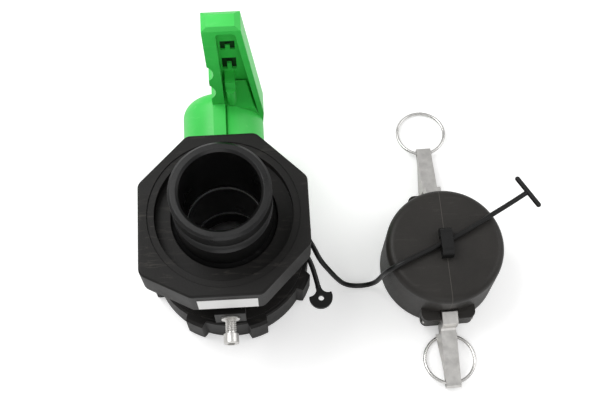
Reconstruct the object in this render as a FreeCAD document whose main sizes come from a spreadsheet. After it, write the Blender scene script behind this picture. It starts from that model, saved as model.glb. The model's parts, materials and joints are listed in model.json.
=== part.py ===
"""Bulk-container tank valve: a two-inch ball valve with a lobed union nut at its
inlet, a lever, an octagonal outlet nut that holds a cam-groove adapter, and a
tethered dust cap with two cam arms.

Frame: millimetres, +Z up the pipe from the inlet face to the outlet, +Y towards
the lever's stem, origin at the centre of the inlet face. The dust cap stands
mouth down beside the valve, on the plane of the inlet face.
"""
import FreeCAD, Part
import Sketcher
import math
import os
import sys

os.makedirs("parts", exist_ok=True)
doc = FreeCAD.newDocument("tank_valve")
Vector = FreeCAD.Vector
Rotation = FreeCAD.Rotation
Placement = FreeCAD.Placement

# --------------------------------------------------------------------------
# Driving dimensions: one row each, (alias, value, what it is)
# --------------------------------------------------------------------------
SIZES = [
    ("bore_radius", 25.0, "clear bore through the whole valve"),
    ("seat_gap", 0.1, "clearance between parts that touch face to face"),
    ("run_gap", 0.05, "radial running clearance of shafts and rings"),
    # union nut at the inlet
    ("nut_height", 31.0, "height of the lobed union nut"),
    ("nut_wall", 5.4, "wall of the nut round its thread, between the lobes"),
    ("nut_lobe_rise", 4.2, "how far a lobe stands out"),
    ("nut_lobe_width", 12.5, "width of a lobe"),
    ("nut_lobe_count", 8, "number of lobes"),
    ("nut_lobe_turn", 18.0, "turn of the first lobe from +X"),
    ("nut_thread_radius", 48.6, "crest radius of the nut's internal thread"),
    ("nut_thread_length", 14.5, "length of that bore from the mouth"),
    ("thread_relief", 0.6, "how much wider the nut is above its thread"),
    ("nut_ledge", 6.0, "thickness of the nut's top ledge"),
    ("nut_ring_back", 2.5, "nut's outside to the step on its top face"),
    ("nut_ring_step", 2.0, "height of that step"),
    ("nut_ring_inner", 45.0, "inside of the raised ring on the nut"),
    ("snap_ring_outer", 43.0, "retaining ring above the nut's ledge"),
    ("snap_ring_depth", 1.5, "depth of its groove in the neck"),
    ("snap_ring_thickness", 2.0, "thickness of that ring"),
    # body
    ("neck_radius", 40.0, "body neck inside the nut's ledge"),
    ("tail_radius", 46.5, "body flange that the nut pulls on"),
    ("tail_length", 7.0, "thickness of that flange"),
    ("shell_radius", 43.5, "body outside round the ball"),
    ("ball_height", 60.0, "height of the ball's centre and of the stem axis"),
    ("ball_radius", 33.5, "ball"),
    ("seat_width", 5.0, "radial width of a ball seat"),
    ("gasket_thickness", 2.5, "flat gaskets at inlet and outlet"),
    ("thread_radius", 45.5, "body thread at the outlet"),
    ("thread_top", 87.5, "end face of the body at the outlet"),
    # stem side
    ("boss_radius", 16.8, "stem boss of the body, under the octagon"),
    ("boss_collar_radius", 22.5, "collar of the stem boss inside the lever's hub"),
    ("boss_collar_start", 56.0, "start of that collar from the pipe axis"),
    ("boss_end", 72.0, "end of the stem boss from the pipe axis"),
    ("stem_radius", 9.0, "stem"),
    ("tang_width", 9.0, "width of the tang in the ball's slot"),
    ("tang_length", 22.0, "length of the tang along the ball's bore"),
    ("drive_flat", 13.0, "width across the lever's drive flats"),
    ("stem_root", 28.0, "inner end of the stem from the pipe axis"),
    ("stem_tip", 91.0, "outer end of the stem"),
    ("gland_radius", 14.0, "gland bush round the stem"),
    ("gland_length", 9.0, "length of the gland bush"),
    ("oring_section", 1.5, "section radius of an O-ring"),
    ("oring_pitch", 8.0, "distance between the stem's O-rings"),
    ("lever_screw_radius", 3.0, "shank of the lever's screw"),
    ("lever_screw_head", 6.5, "head radius of the lever's screw"),
    ("lever_screw_sink", 5.0, "depth of the pocket for that head"),
    ("lever_screw_length", 14.0, "length of that shank"),
    # lever
    ("hub_play", 1.4, "room between the hub's skirt and the boss collar"),
    ("hub_start", 58.0, "start of the hub skirt from the pipe axis"),
    ("hub_end", 97.0, "outer face of the hub"),
    ("hub_wall", 3.6, "skirt wall of the hub"),
    ("hub_round", 12.0, "rounding of the hub's outer shoulder"),
    ("lever_length", 125.0, "stem axis to the lever's tip"),
    ("lever_tip_left", -6.3, "grip side of the lever at the tip"),
    ("lever_tip_right", 17.5, "plain side of the lever at the tip"),
    ("lever_root_left", -5.3, "grip side of the lever at the hub"),
    ("lever_front_root", 81.5, "front rim of the lever at the hub"),
    ("lever_front_tip", 88.5, "front rim of the lever at the tip"),
    ("lever_back_tip", 100.5, "back of the lever at the tip"),
    ("lever_grip_wall", 8.2, "thickness of the grip wall"),
    ("lever_wall", 3.6, "thickness of the other lever walls"),
    ("lever_tip_wall", 7.0, "thickness of the lever's end wall"),
    ("finger_pitch", 24.0, "pitch of the finger hollows"),
    ("finger_depth", 3.0, "depth of a finger hollow"),
    ("finger_radius", 13.0, "radius of a finger hollow"),
    ("finger_first", 47.0, "stem axis to the first finger hollow"),
    ("finger_count", 2, "number of finger hollows"),
    ("latch_width", 6.6, "width of the lock tongue"),
    ("window_tab", 3.0, "width of the tab that stands up in a window"),
    ("lower_window", 15.0, "height of the lower window in the lever's back"),
    ("slider_front", 97.0, "front of the lock's slider behind the windows"),
    ("slider_width", 12.5, "width of that slider"),
    ("slider_thickness", 1.2, "thickness of that slider"),
    ("root_ramp", 16.0, "height of the ramp from the hub into the arm's hollow"),
    ("tongue_front", 86.0, "front of the lock tongue from the pipe axis"),
    ("slot_width", 9.2, "width of the lock windows"),
    ("slot_height", 10.5, "height of a lock window"),
    ("lower_slot", 57.0, "stem axis to the lower lock window"),
    ("upper_slot", 82.5, "stem axis to the upper lock window"),
    # outlet nut and adapter
    ("octagon_half", 54.2, "half the octagon across its flats"),
    ("octagon_base", 77.5, "underside of the octagonal nut"),
    ("octagon_height", 28.5, "height of the octagonal nut"),
    ("octagon_web", 12.0, "thickness of its front web"),
    ("lug_corner", 37.5, "how far the square lug corner reaches along -Y"),
    ("face_groove_radius", 48.5, "outside of the sunk ring on the front face"),
    ("face_groove_depth", 0.8, "depth of the sunk ring"),
    ("dish_radius", 44.0, "sunk middle of the octagon's face"),
    ("dish_depth", 8.0, "depth of that sunk middle"),
    ("collar_radius", 34.2, "hole in the octagon for the adapter"),
    ("rim_chamfer", 1.6, "chamfer inside and outside the adapter's rim"),
    ("octagon_corner", 6.5, "rounding of the octagon's corners"),
    ("octagon_edge", 1.5, "rounding of the octagon's upper edge"),
    ("adapter_radius", 31.4, "outside of the cam-groove adapter"),
    ("adapter_tip", 147.2, "height of the adapter's rim"),
    ("cam_groove_drop", 19.5, "rim to the middle of the cam groove"),
    ("cam_groove_radius", 8.0, "section radius of the cam groove"),
    ("cam_groove_floor", 27.9, "radius at the bottom of the cam groove"),
    # earthing screw
    ("earth_boss_width", 20.0, "square boss of the earthing screw"),
    ("earth_boss_face", 56.3, "front face of that boss from the pipe axis"),
    ("earth_screw_radius", 3.2, "shank of the earthing screw"),
    ("earth_head_radius", 5.0, "head of the earthing screw"),
    ("earth_head_length", 6.5, "length of the head"),
    ("earth_head_stand", 9.6, "washer to the underside of the head"),
    ("washer_radius", 6.0, "earthing washer"),
    ("washer_thickness", 1.2, "earthing washer"),
    ("insert_radius", 5.0, "threaded insert in the boss"),
    ("insert_length", 11.0, "threaded insert in the boss"),
    # dust cap
    ("cap_x", 146.4, "middle of the dust cap"),
    ("cap_y", -10.8, "middle of the dust cap"),
    ("cap_turn", 1.5, "turn of the dust cap about its own axis"),
    ("cap_height", 50.5, "height of the dust cap without its eyelet"),
    ("cap_radius", 41.0, "outside of the cap at its mouth"),
    ("cap_draft", 0.8, "how much narrower the cap is at its shoulder"),
    ("cap_shoulder", 5.5, "rounding of the cap's shoulder"),
    ("cap_bore", 32.0, "socket of the cap"),
    ("cap_top_wall", 6.0, "end wall of the cap"),
    ("cap_gasket_width", 7.0, "radial width of the cap's gasket"),
    ("cap_gasket_thickness", 5.0, "thickness of the cap's gasket"),
    ("eyelet_rise", 9.6, "height of the eyelet on the cap"),
    ("eyelet_length", 20.0, "length of the eyelet across the strap"),
    ("eyelet_foot", 5.5, "length of each foot of the eyelet"),
    ("eyelet_thickness", 8.0, "thickness of the eyelet along the strap"),
    ("ear_reach", 45.5, "outer end of the ears from the cap's axis"),
    ("ear_width", 12.5, "thickness of one ear"),
    ("ear_height", 25.0, "top of the ears"),
    ("ear_foot", 9.0, "underside of the ears"),
    ("arm_width", 10.5, "width of a cam arm"),
    ("arm_play", 0.6, "side play of an arm between its ears"),
    ("arm_length", 48.0, "pin to the tip of a cam arm"),
    ("arm_droop", 12.0, "how far an open arm hangs below level, degrees"),
    ("arm_top", 1.2, "top face of an arm above its pin's axis"),
    ("arm_flare", 2.4, "how much wider an arm's root is below than above"),
    ("arm_root_depth", 12.0, "depth of the arm beside its cam"),
    ("arm_tip_depth", 5.3, "depth of the arm at its tip"),
    ("cam_reach", 14.3, "pin to the nose of the cam"),
    ("cam_half", 5.6, "half width of the cam's nose"),
    ("pin_reach", 42.3, "pin axis from the cap's axis"),
    ("pin_height", 15.9, "pin axis above the cap's mouth"),
    ("pin_radius", 2.5, "pivot pin of an arm"),
    ("ring_radius", 17.3, "middle of a pull ring's wire"),
    ("ring_wire", 1.15, "wire radius of a pull ring"),
    ("ring_hole", 2.3, "hole in the arm for the pull ring"),
    ("ring_hole_back", 3.6, "tip to the middle of that hole"),
    # strap
    ("strap_radius", 1.75, "the moulded strap"),
    ("loop_gap", 0.65, "retaining ring to the strap's loop"),
    ("tbar_length", 23.0, "cross bar on the strap's end"),
    ("anchor_radius", 8.0, "anchor head on the strap's tail"),
    ("anchor_thickness", 3.0, "thickness of the anchor head"),
    ("anchor_hole", 1.9, "hole in the anchor head"),
]

sheet = doc.addObject("Spreadsheet::Sheet", "dims")
for row, (alias, number, note) in enumerate(SIZES, start=1):
    sheet.set(f"A{row}", note)
    sheet.set(f"B{row}", str(number))
    sheet.setAlias(f"B{row}", alias)
doc.recompute()


class Size:
    """A length with its value and the formula over the sheet that gives it."""

    def __init__(self, value, text):
        self.value = float(value)
        self.text = text

    def join(self, other, sign, value):
        return Size(value, f"({self.text} {sign} {as_size(other).text})")

    def __add__(self, other):
        return self.join(other, "+", self.value + float(other))

    def __sub__(self, other):
        return self.join(other, "-", self.value - float(other))

    def __mul__(self, other):
        return self.join(other, "*", self.value * float(other))

    def __truediv__(self, other):
        return self.join(other, "/", self.value / float(other))

    def __radd__(self, other):
        return as_size(other) + self

    def __rsub__(self, other):
        return as_size(other) - self

    def __rmul__(self, other):
        return as_size(other) * self

    def __neg__(self):
        return Size(-self.value, f"(0 - {self.text})")

    def __float__(self):
        return self.value


def as_size(number):
    return number if isinstance(number, Size) else Size(number, repr(float(number)))


class Dims:
    """The sheet's rows as attributes, such as d.bore_radius."""


d = Dims()
for alias, number, note in SIZES:
    setattr(d, alias, Size(getattr(sheet, alias), f"dims.{alias}"))

# --------------------------------------------------------------------------
# Helpers: bound primitives, booleans, profiles
# --------------------------------------------------------------------------
NODES = {}
AXES = {
    "X": Rotation(Vector(0, 1, 0), 90),
    "Y": Rotation(Vector(1, 0, 0), -90),
    "Z": Rotation(),
}


def bind(thing, **sizes):
    """Tie properties of an object to formulas over the sheet."""
    for name, size in sizes.items():
        thing.setExpression(name, as_size(size).text)
    return thing


def at(thing, place, axis="Z"):
    """Place an object by three sizes and turn its Z axis to the one named."""
    thing.Placement = Placement(Vector(*[float(p) for p in place]), AXES[axis])
    for letter, size in zip("xyz", place):
        thing.setExpression(f".Placement.Base.{letter}", as_size(size).text)
    return thing


def box(name, place, size):
    """A box from its lowest corner and its three sizes."""
    made = doc.addObject("Part::Box", name)
    return at(bind(made, Length=size[0], Width=size[1], Height=size[2]), place)


def cylinder(name, radius, length, place=(0, 0, 0), axis="Z"):
    made = doc.addObject("Part::Cylinder", name)
    return at(bind(made, Radius=radius, Height=length), place, axis)


def sphere(name, radius, place=(0, 0, 0)):
    return at(bind(doc.addObject("Part::Sphere", name), Radius=radius), place)


def torus(name, ring, section, place=(0, 0, 0), axis="Z"):
    made = doc.addObject("Part::Torus", name)
    return at(bind(made, Radius1=ring, Radius2=section), place, axis)


def fuse(name, *shapes):
    made = doc.addObject("Part::MultiFuse", name)
    made.Shapes = list(shapes)
    made.Refine = True
    return made


def cut(name, base, *tools):
    made = doc.addObject("Part::Cut", name)
    made.Base = base
    made.Tool = tools[0] if len(tools) == 1 else fuse(name + "_tools", *tools)
    made.Refine = True
    return made


def common(name, first, second):
    made = doc.addObject("Part::Common", name)
    made.Base = first
    made.Tool = second
    return made


def tube(name, outer, inner, low, high):
    """A plain ring about the pipe axis between two heights."""
    outside = cylinder(name + "_outside", outer, high - low, (0, 0, low))
    inside = cylinder(name + "_inside", inner, high - low, (0, 0, low))
    return cut(name, outside, inside)


def profile(body, name, plane, corners):
    """A closed sketch whose corners' places are bound to the sheet."""
    sketch = body.newObject("Sketcher::SketchObject", name)
    support = [f for f in body.Origin.OriginFeatures if f.Role == plane][0]
    sketch.AttachmentSupport = (support, "")
    sketch.MapMode = "FlatFace"
    points = [Vector(float(a), float(b), 0) for a, b in corners]
    count = len(points)
    for i in range(count):
        sketch.addGeometry(Part.LineSegment(points[i], points[(i + 1) % count]))
    for i in range(count):
        following = (i + 1) % count
        sketch.addConstraint(Sketcher.Constraint("Coincident", i, 2, following, 1))
    for i, corner in enumerate(corners):
        for kind, line, size in (("DistanceX", -2, corner[0]), ("DistanceY", -1, corner[1])):
            size = as_size(size)
            if abs(size.value) < 1e-9 and size.text == "0.0":
                sketch.addConstraint(Sketcher.Constraint("PointOnObject", i, 1, line))
                continue
            rule = Sketcher.Constraint(kind, -1, 1, i, 1, size.value)
            index = sketch.addConstraint(rule)
            sketch.setExpression(f"Constraints[{index}]", size.text)
    return sketch


def revolved(name, corners):
    """A body turned about the pipe axis from (radius, height) corners."""
    body = doc.addObject("PartDesign::Body", name)
    sketch = profile(body, name + "_profile", "XZ_Plane", corners)
    turn = body.newObject("PartDesign::Revolution", name + "_turn")
    turn.Profile = sketch
    turn.ReferenceAxis = (sketch, ["V_Axis"])
    turn.Angle = 360
    return body


def padded(name, plane, corners, low, high):
    """A body pushed out of a plane between two distances along its normal."""
    body = doc.addObject("PartDesign::Body", name)
    sketch = profile(body, name + "_profile", plane, corners)
    pad = body.newObject("PartDesign::Pad", name + "_pad")
    pad.Profile = sketch
    bind(pad, Length=high - low)
    lift = {"XY_Plane": (0, 0, low), "XZ_Plane": (0, high, 0), "YZ_Plane": (low, 0, 0)}[plane]
    for letter, size in zip("xyz", lift):
        body.setExpression(f".Placement.Base.{letter}", as_size(size).text)
    return body


def lofted(name, near, near_out, far, far_out):
    """A body between two outlines that face -Y, at two distances from the XZ plane."""
    body = doc.addObject("PartDesign::Body", name)
    sections = []
    for end, corners, out in (("near", near, near_out), ("far", far, far_out)):
        sketch = profile(body, f"{name}_{end}", "XZ_Plane", corners)
        sketch.AttachmentOffset = Placement(Vector(0, 0, float(out)), Rotation())
        sketch.setExpression(".AttachmentOffset.Base.z", as_size(out).text)
        sections.append(sketch)
    loft = body.newObject("PartDesign::AdditiveLoft", name + "_loft")
    loft.Profile = sections[0]
    loft.Sections = [sections[1]]
    loft.Ruled = True
    return body


def rounded(name, base, radius, chosen):
    """A Part fillet on the edges of a shape that a test picks."""
    doc.recompute()
    made = doc.addObject("Part::Fillet", name)
    made.Base = base
    picked = [i for i, e in enumerate(base.Shape.Edges, start=1) if chosen(e)]
    made.Edges = [(i, float(radius), float(radius)) for i in picked]
    return made


def turned(name, tools_of, count, first_angle):
    """Copies of a shape at equal turns about the pipe axis, fused."""
    copies = []
    for k in range(int(float(count))):
        piece = tools_of(k)
        angle = float(first_angle) + 360.0 * k / float(count)
        piece.Placement = Placement(Vector(), Rotation(Vector(0, 0, 1), angle))
        copies.append(piece)
    return fuse(name, *copies)


def shape_piece(name, shape):
    """A piece whose shape is made directly, from sizes read off the sheet."""
    made = doc.addObject("Part::Feature", name)
    made.Shape = shape
    return made


def node(label, thing, placement=None):
    """Name a finished sub-part; its label names its file."""
    if placement is not None:
        moved = doc.addObject("Part::Compound", "placed_" + label)
        moved.Links = [thing]
        moved.Placement = placement
        thing = moved
    thing.Label = label
    NODES[label] = thing
    return thing


# --------------------------------------------------------------------------
# Derived heights and radii that several sub-parts share
# --------------------------------------------------------------------------
ledge_low = d.nut_height - d.nut_ledge
tail_high = ledge_low - d.seat_gap
tail_low = tail_high - d.tail_length
snap_low = d.nut_height + d.seat_gap
snap_high = snap_low + d.snap_ring_thickness
nut_radius = d.nut_thread_radius + d.nut_wall
nut_ring_radius = nut_radius - d.nut_ring_back
hub_room = d.boss_collar_radius + d.hub_play
hub_radius = hub_room + d.hub_wall
loop_height = snap_high + d.loop_gap + d.strap_radius
chamber_radius = d.ball_radius + 0.5
seat_outer = d.bore_radius + d.seat_width
octagon_top = d.octagon_base + d.octagon_height
web_low = octagon_top - d.octagon_web
flange_low = d.thread_top + d.gasket_thickness
flange_high = web_low - d.seat_gap
cap_place = Placement(
    Vector(float(d.cap_x), float(d.cap_y), 0),
    Rotation(Vector(0, 0, 1), float(d.cap_turn)),
)


# The seats hold the ball where a cone of half this height would touch it
seat_near = d.ball_radius * 0.46
seat_far = d.ball_radius * 0.78


# --------------------------------------------------------------------------
# Union nut at the inlet: lobed outside, ledge above, its own turning body
# --------------------------------------------------------------------------
def make_union_nut():
    chamfer = d.nut_ring_step
    lobe_radius = nut_radius + d.nut_lobe_rise
    ring = revolved("nut_ring", [
        (d.nut_thread_radius, 0),
        (nut_radius - chamfer / 2, 0),
        (nut_radius, chamfer / 2),
        (nut_radius, d.nut_height - chamfer / 2),
        (nut_radius - chamfer / 2, d.nut_height),
        (nut_ring_radius, d.nut_height),
        (nut_ring_radius, d.nut_height + d.nut_ring_step),
        (d.nut_ring_inner, d.nut_height + d.nut_ring_step),
        (d.nut_ring_inner, d.nut_height),
        (d.neck_radius + d.run_gap, d.nut_height),
        (d.neck_radius + d.run_gap, ledge_low),
        (d.nut_thread_radius + d.thread_relief, ledge_low),
        (d.nut_thread_radius + d.thread_relief, d.nut_thread_length),
        (d.nut_thread_radius, d.nut_thread_length),
    ])
    limits = revolved("nut_lobe_limits", [
        (nut_radius - d.nut_lobe_rise / 2, 0),
        (lobe_radius - chamfer, 0),
        (lobe_radius, chamfer),
        (lobe_radius, d.nut_height - chamfer),
        (lobe_radius - chamfer, d.nut_height),
        (nut_radius - d.nut_lobe_rise / 2, d.nut_height),
    ])

    def lobe(k):
        return padded(f"nut_lobe_{k}", "XY_Plane", [
            (nut_radius - d.nut_lobe_rise, -(d.nut_lobe_width * 0.6)),
            (lobe_radius + 1, -(d.nut_lobe_width * 0.46)),
            (lobe_radius + 1, d.nut_lobe_width * 0.46),
            (nut_radius - d.nut_lobe_rise, d.nut_lobe_width * 0.6),
        ], as_size(0), d.nut_height)

    lobes = turned("nut_lobes", lobe, d.nut_lobe_count, d.nut_lobe_turn)
    lobes = common("nut_lobes_trimmed", lobes, limits)
    node("union_nut", fuse("nut_body", ring, lobes))
    node("nut_snap_ring", tube(
        "snap_ring", d.snap_ring_outer, d.neck_radius - d.snap_ring_depth, snap_low, snap_high))
    node("inlet_gasket", tube(
        "inlet_gasket_ring", d.tail_radius - 0.5, seat_outer + 3,
        tail_low - d.gasket_thickness, tail_low))


# --------------------------------------------------------------------------
# Valve body: one moulding with the ball chamber, stem boss and earthing boss
# --------------------------------------------------------------------------
def make_valve_body():
    seat_shoulder = d.ball_height - seat_far
    groove = d.neck_radius - d.snap_ring_depth
    chamber_low = d.ball_height - seat_near - 1
    shell = revolved("body_shell", [
        (d.bore_radius, tail_low),
        (d.tail_radius, tail_low),
        (d.tail_radius, tail_high),
        (d.neck_radius, tail_high),
        (d.neck_radius, snap_low),
        (groove, snap_low),
        (groove, snap_high),
        (d.neck_radius, snap_high),
        (d.neck_radius, loop_height + d.strap_radius),
        (d.shell_radius, loop_height + d.strap_radius + 6),
        (d.shell_radius, d.octagon_base - 1),
        (d.thread_radius, d.octagon_base + 1),
        (d.thread_radius, d.thread_top),
        (chamber_radius, d.thread_top),
        (chamber_radius, chamber_low),
        (seat_outer, chamber_low),
        (seat_outer, seat_shoulder),
        (d.bore_radius, seat_shoulder),
    ])
    axis_z = d.ball_height
    boss = cylinder("stem_boss", d.boss_radius, d.boss_end, (0, 0, axis_z), "Y")
    collar = cylinder(
        "stem_boss_collar", d.boss_collar_radius, d.boss_end - d.boss_collar_start,
        (0, d.boss_collar_start, axis_z), "Y")
    earth = box(
        "earth_boss",
        (-(d.earth_boss_width / 2), -d.earth_boss_face, axis_z - d.earth_boss_width / 2),
        (d.earth_boss_width, d.earth_boss_face, d.earth_boss_width))
    bosses = fuse("bosses", boss, collar, earth)
    room = cylinder("boss_room", chamber_radius, d.thread_top - seat_shoulder, (0, 0, seat_shoulder))
    bosses = cut("bosses_outside", bosses, room)
    whole = fuse("body_whole", shell, bosses)
    stem_bore = cylinder(
        "stem_bore", d.stem_radius + d.run_gap, d.boss_end, (0, 0, axis_z), "Y")
    gland = cylinder(
        "gland_pocket", d.gland_radius, d.gland_length,
        (0, d.boss_end - d.gland_length, axis_z), "Y")
    insert = cylinder(
        "insert_pocket", d.insert_radius, d.insert_length,
        (0, -d.earth_boss_face, axis_z), "Y")
    body = cut("body_bored", whole, stem_bore, gland, insert)
    node("valve_body", body)
    node("stem_bush", cut(
        "gland",
        cylinder("gland_outside", d.gland_radius, d.gland_length,
                 (0, d.boss_end - d.gland_length, axis_z), "Y"),
        cylinder("gland_bore", d.stem_radius + d.run_gap, d.gland_length,
                 (0, d.boss_end - d.gland_length, axis_z), "Y")))


# --------------------------------------------------------------------------
# Ball, seats and the ring that holds them in the chamber
# --------------------------------------------------------------------------
def make_ball_and_seats():
    axis_z = d.ball_height
    reach = d.ball_radius + d.seat_gap
    ball = cut(
        "ball_bored",
        sphere("ball_blank", d.ball_radius, (0, 0, axis_z)),
        cylinder("ball_bore", d.bore_radius, d.ball_radius * 2,
                 (0, 0, axis_z - d.ball_radius)),
        box("ball_slot",
            (-(d.tang_width / 2) - d.run_gap, d.stem_root - d.run_gap,
             axis_z - d.tang_length / 2 - d.run_gap),
            (d.tang_width + d.run_gap * 2, d.ball_radius, d.tang_length + d.run_gap * 2)))
    node("ball", ball)
    for name, low in (("seat_ring_inlet", axis_z - seat_far), ("seat_ring_outlet", axis_z + seat_near)):
        ring = tube(name + "_blank", seat_outer, d.bore_radius, low, low + seat_far - seat_near)
        node(name, cut(name + "_dished", ring, sphere(name + "_ball", reach, (0, 0, axis_z))))
    node("seat_carrier", revolved("carrier", [
        (seat_outer, axis_z + seat_near),
        (chamber_radius, axis_z + seat_near),
        (chamber_radius, d.thread_top),
        (d.bore_radius, d.thread_top),
        (d.bore_radius, axis_z + seat_far),
        (seat_outer, axis_z + seat_far),
    ]))


# --------------------------------------------------------------------------
# Stem with its tang, drive flats and O-rings
# --------------------------------------------------------------------------
def make_stem():
    axis_z = d.ball_height
    oring_middle = d.stem_radius - d.oring_section - 0.2
    shaft_start = chamber_radius + 0.3
    shaft = cylinder("stem_shaft", d.stem_radius, d.stem_tip - shaft_start, (0, shaft_start, axis_z), "Y")
    tang = box(
        "stem_tang",
        (-(d.tang_width / 2), d.stem_root, axis_z - d.tang_length / 2),
        (d.tang_width, d.stem_radius, d.tang_length))
    round_tang = cylinder("tang_round", d.stem_radius, d.stem_tip - d.stem_root, (0, d.stem_root, axis_z), "Y")
    tang = common("stem_tang_round", tang, round_tang)
    half = d.drive_flat / 2
    drive_start = d.boss_end + 3
    sides = []
    for side, low in (("left", -d.stem_radius), ("right", half)):
        sides.append(box(
            f"drive_flat_{side}", (low, drive_start, axis_z - d.stem_radius),
            (d.stem_radius - half, d.stem_tip - drive_start, d.stem_radius * 2)))
    grooves = []
    orings = []
    for k in range(2):
        middle = d.boss_end - d.gland_length - 6 - d.oring_pitch * k
        outside = cylinder(f"groove_{k}_outside", d.stem_radius + 1, d.oring_section * 2.2,
                           (0, middle - d.oring_section * 1.1, axis_z), "Y")
        inside = cylinder(f"groove_{k}_floor", oring_middle - d.oring_section, d.oring_section * 2.2,
                          (0, middle - d.oring_section * 1.1, axis_z), "Y")
        grooves.append(cut(f"groove_{k}", outside, inside))
        orings.append(torus(f"stem_oring_{k}", oring_middle, d.oring_section, (0, middle, axis_z), "Y"))
    screw_hole = cylinder(
        "stem_screw_hole", d.lever_screw_radius, d.lever_screw_length,
        (0, d.hub_end - d.lever_screw_sink - d.lever_screw_length, axis_z), "Y")
    stem = cut("stem_cut", fuse("stem_whole", shaft, tang), screw_hole, *sides, *grooves)
    node("stem", stem)
    pair = doc.addObject("Part::Compound", "oring_pair")
    pair.Links = orings
    node("stem_orings", pair)


# --------------------------------------------------------------------------
# Lever: a moulded hub and a hollow arm with finger hollows on its grip wall
# --------------------------------------------------------------------------
def lever_slab(name, outline, side):
    """Where an outline seen from the front meets a profile seen from the side."""
    front = padded(name + "_front", "XZ_Plane", outline, d.hub_start, d.lever_back_tip + 2)
    aside = padded(name + "_side", "YZ_Plane", side, -hub_radius * 2, hub_radius * 2)
    return common(name, front, aside)


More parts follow.
